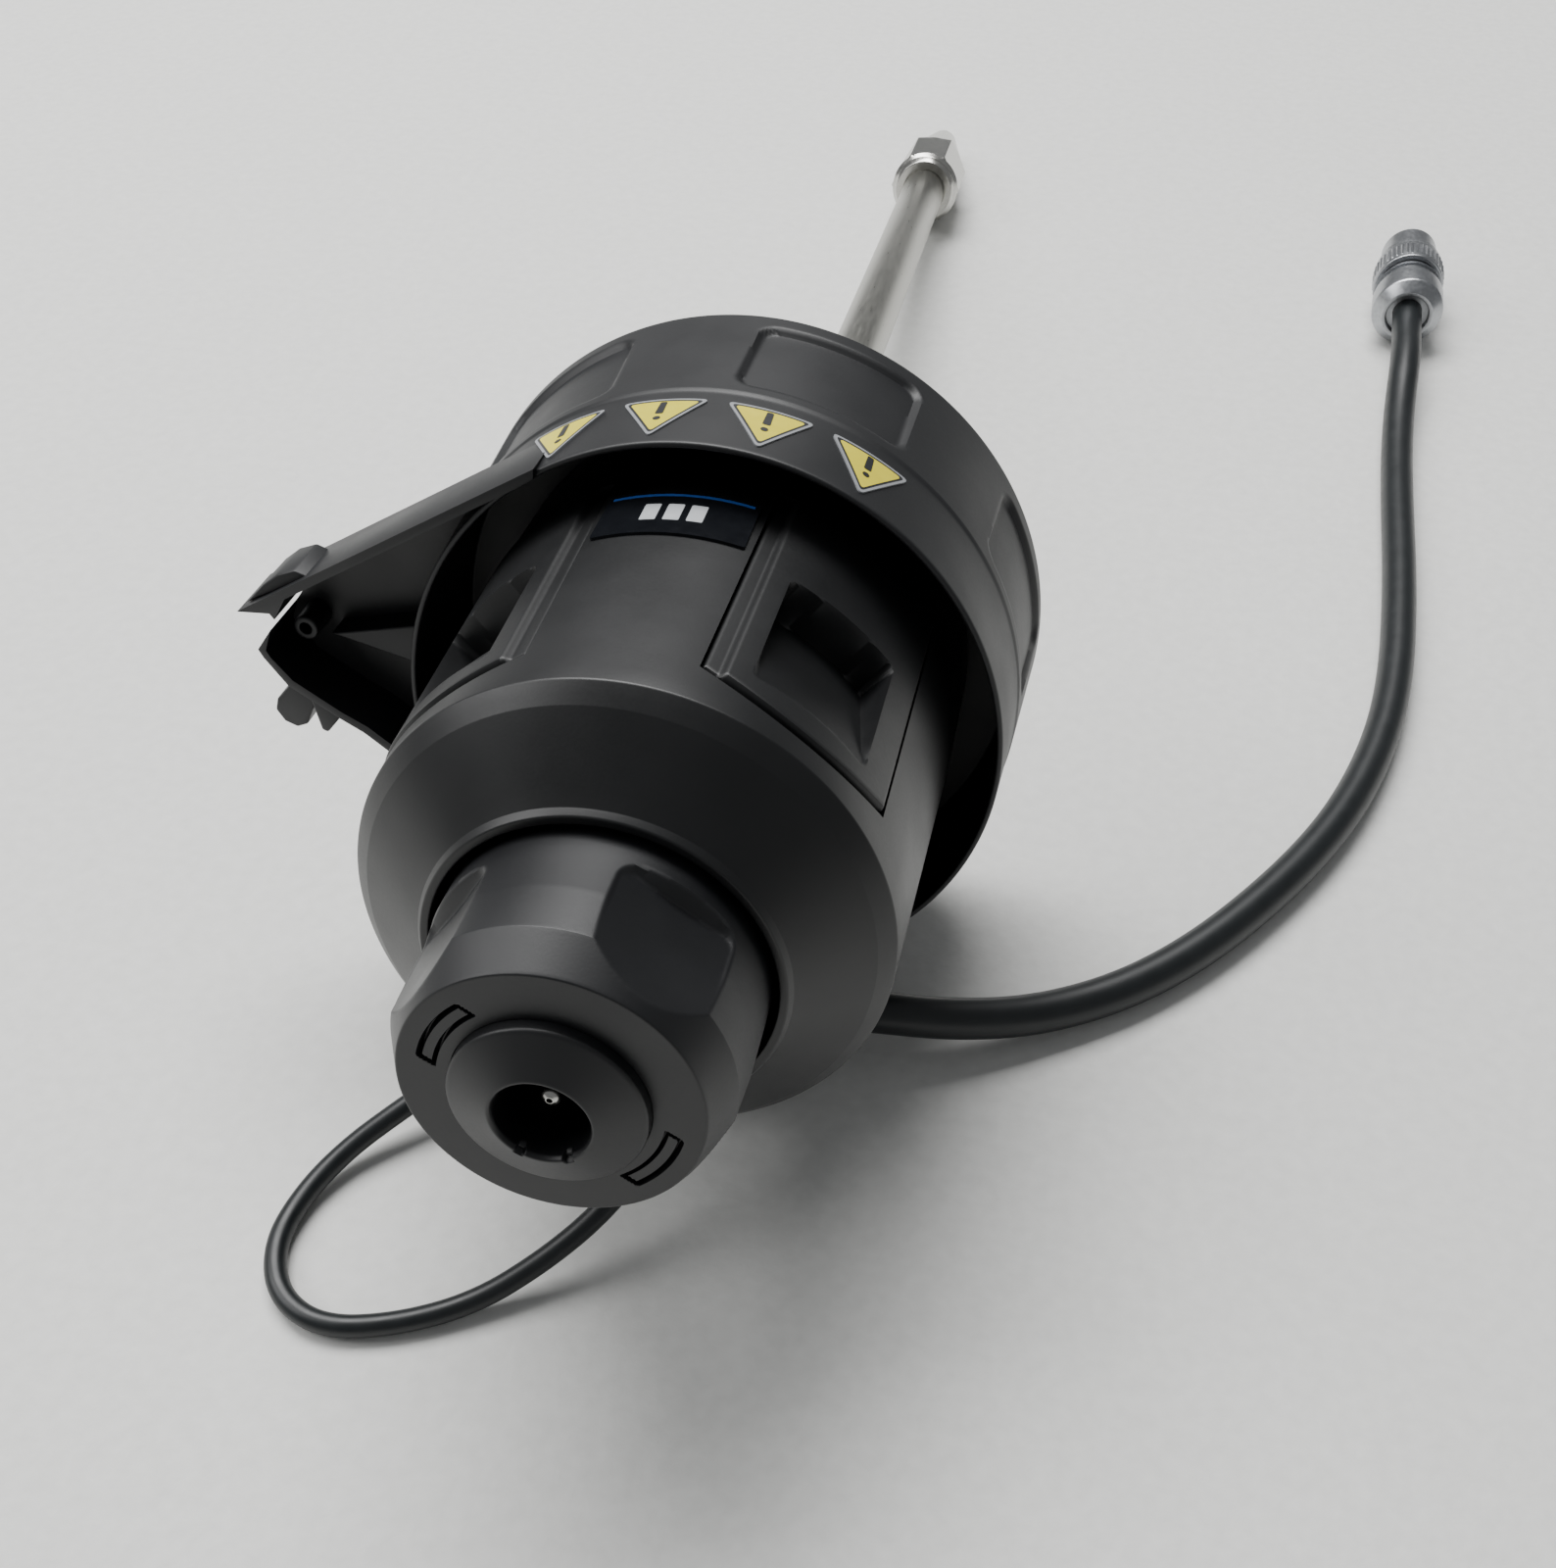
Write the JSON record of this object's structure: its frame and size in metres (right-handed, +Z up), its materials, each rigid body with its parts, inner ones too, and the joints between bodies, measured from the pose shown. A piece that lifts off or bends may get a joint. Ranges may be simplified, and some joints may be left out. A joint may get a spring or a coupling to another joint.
{
  "type": "ion source probe",
  "caption": "Spray ionisation probe with a hand knob, press grips, a locking ring with a lever arm, a long steel shaft, and a cable with a round plug.",
  "frame": {"origin": "on the bench under the middle of the probe's box, without the cable and its plug", "axes": "+Z up, +Y along the probe from the knob towards the nozzle, +X to the operator's right"},
  "size_m": [0.1791, 0.35, 0.0845],
  "materials": {
    "housing_plastic": "fine spark-eroded black moulding",
    "ring_plastic": "fine spark-eroded black moulding",
    "knob_plastic": "fine spark-eroded black moulding",
    "grip_plastic": "textured black moulding",
    "label_film": "smooth dark label film",
    "yellow_label": "printed yellow label",
    "steel": "turned stainless steel",
    "aluminium": "machined aluminium",
    "brass": "turned brass",
    "bearing_plastic": "natural high-temperature plastic",
    "board": "green circuit board",
    "seal_rubber": "black rubber",
    "cable_jacket": "satin black cable jacket",
    "plug_chrome": "satin chromed shell",
    "plug_insulator": "black insulator",
    "gold": "gold-plated contact"
  },
  "bodies": {
    "root": {"housing_shell": "housing_plastic", "label_plate": "label_film", "cable_outlet": "housing_plastic", "cable_gland": "seal_rubber", "rear_flange": "aluminium", "flange_screws": "steel", "face_seal": "seal_rubber", "gas_port_seals": "seal_rubber", "gas_manifold": "aluminium", "inner_frame": "aluminium", "guide_key": "steel", "terminal_board": "board", "bearing_bush": "bearing_plastic", "shaft_tube": "steel", "needle_liner": "bearing_plastic", "nebuliser_nozzle": "steel", "grip_pins": "steel", "grip_springs": "steel", "signal_cable": "cable_jacket", "ground_lead": "cable_jacket", "plug_back_nut": "plug_chrome", "plug_body": "plug_chrome", "plug_insulator": "plug_insulator", "plug_pins": "gold"},
    "adjuster_knob": {"knob": "knob_plastic", "port_insert": "knob_plastic", "drive_nut": "brass", "knob_clip": "steel"},
    "needle_carriage": {"carriage": "steel", "inlet_union": "steel", "ferrule": "bearing_plastic", "spray_needle": "steel"},
    "locking_ring": {"locking_ring": "ring_plastic", "triangle_labels": "yellow_label"},
    "plug_sleeve": {"plug_sleeve": "plug_chrome"},
    "grip_upper_right": {"grip_upper_right": "grip_plastic"},
    "grip_upper_left": {"grip_upper_left": "grip_plastic"},
    "grip_lower_left": {"grip_lower_left": "grip_plastic"},
    "grip_lower_right": {"grip_lower_right": "grip_plastic"}
  },
  "joints": [
    {"name": "knob_turn", "type": "hinge", "parent": "root", "child": "adjuster_knob", "pos_m": [0.00991, -0.1483, 0.05278], "axis": [0, -0.9884, 0.1518], "range_deg": [-540, 540]},
    {"name": "carriage_slide", "type": "slide", "parent": "root", "child": "needle_carriage", "axis": [0, -0.9884, 0.1518], "range_m": [-0.0016, 0.0016]},
    {"name": "ring_turn", "type": "hinge", "parent": "root", "child": "locking_ring", "pos_m": [0.00991, -0.07911, 0.04215], "axis": [0, 0.9884, -0.1518], "range_deg": [0, 40]},
    {"name": "grip_upper_right_press", "type": "hinge", "parent": "root", "child": "grip_upper_right", "pos_m": [0.02633, -0.09669, 0.06603], "axis": [0.7869, -0.0937, -0.6099], "range_deg": [0, 3.4], "stiffness_Nm_per_rad": 6, "springref_deg": -1.72},
    {"name": "grip_upper_left_press", "type": "hinge", "parent": "root", "child": "grip_upper_left", "pos_m": [-0.00886, -0.09701, 0.06397], "axis": [0.7083, 0.1072, 0.6977], "range_deg": [0, 3.4], "stiffness_Nm_per_rad": 6, "springref_deg": -1.72},
    {"name": "grip_lower_left_press", "type": "hinge", "parent": "root", "child": "grip_lower_left", "pos_m": [-0.0065, -0.10305, 0.02465], "axis": [-0.7869, 0.0937, 0.6099], "range_deg": [0, 3.4], "stiffness_Nm_per_rad": 6, "springref_deg": -1.72},
    {"name": "grip_lower_right_press", "type": "hinge", "parent": "root", "child": "grip_lower_right", "pos_m": [0.02869, -0.10273, 0.02672], "axis": [-0.7083, -0.1072, -0.6977], "range_deg": [0, 3.4], "stiffness_Nm_per_rad": 6, "springref_deg": -1.72},
    {"name": "plug_release", "type": "slide", "parent": "root", "child": "plug_sleeve", "axis": [-0.0599, -0.9982, 0], "range_m": [0, 0.002], "stiffness_N_per_m": 400, "springref_m": -0.002}
  ],
  "couplings": [
    {"joint": "carriage_slide", "follows": "knob_turn", "m_per_rad": 0.00015915}
  ]
}
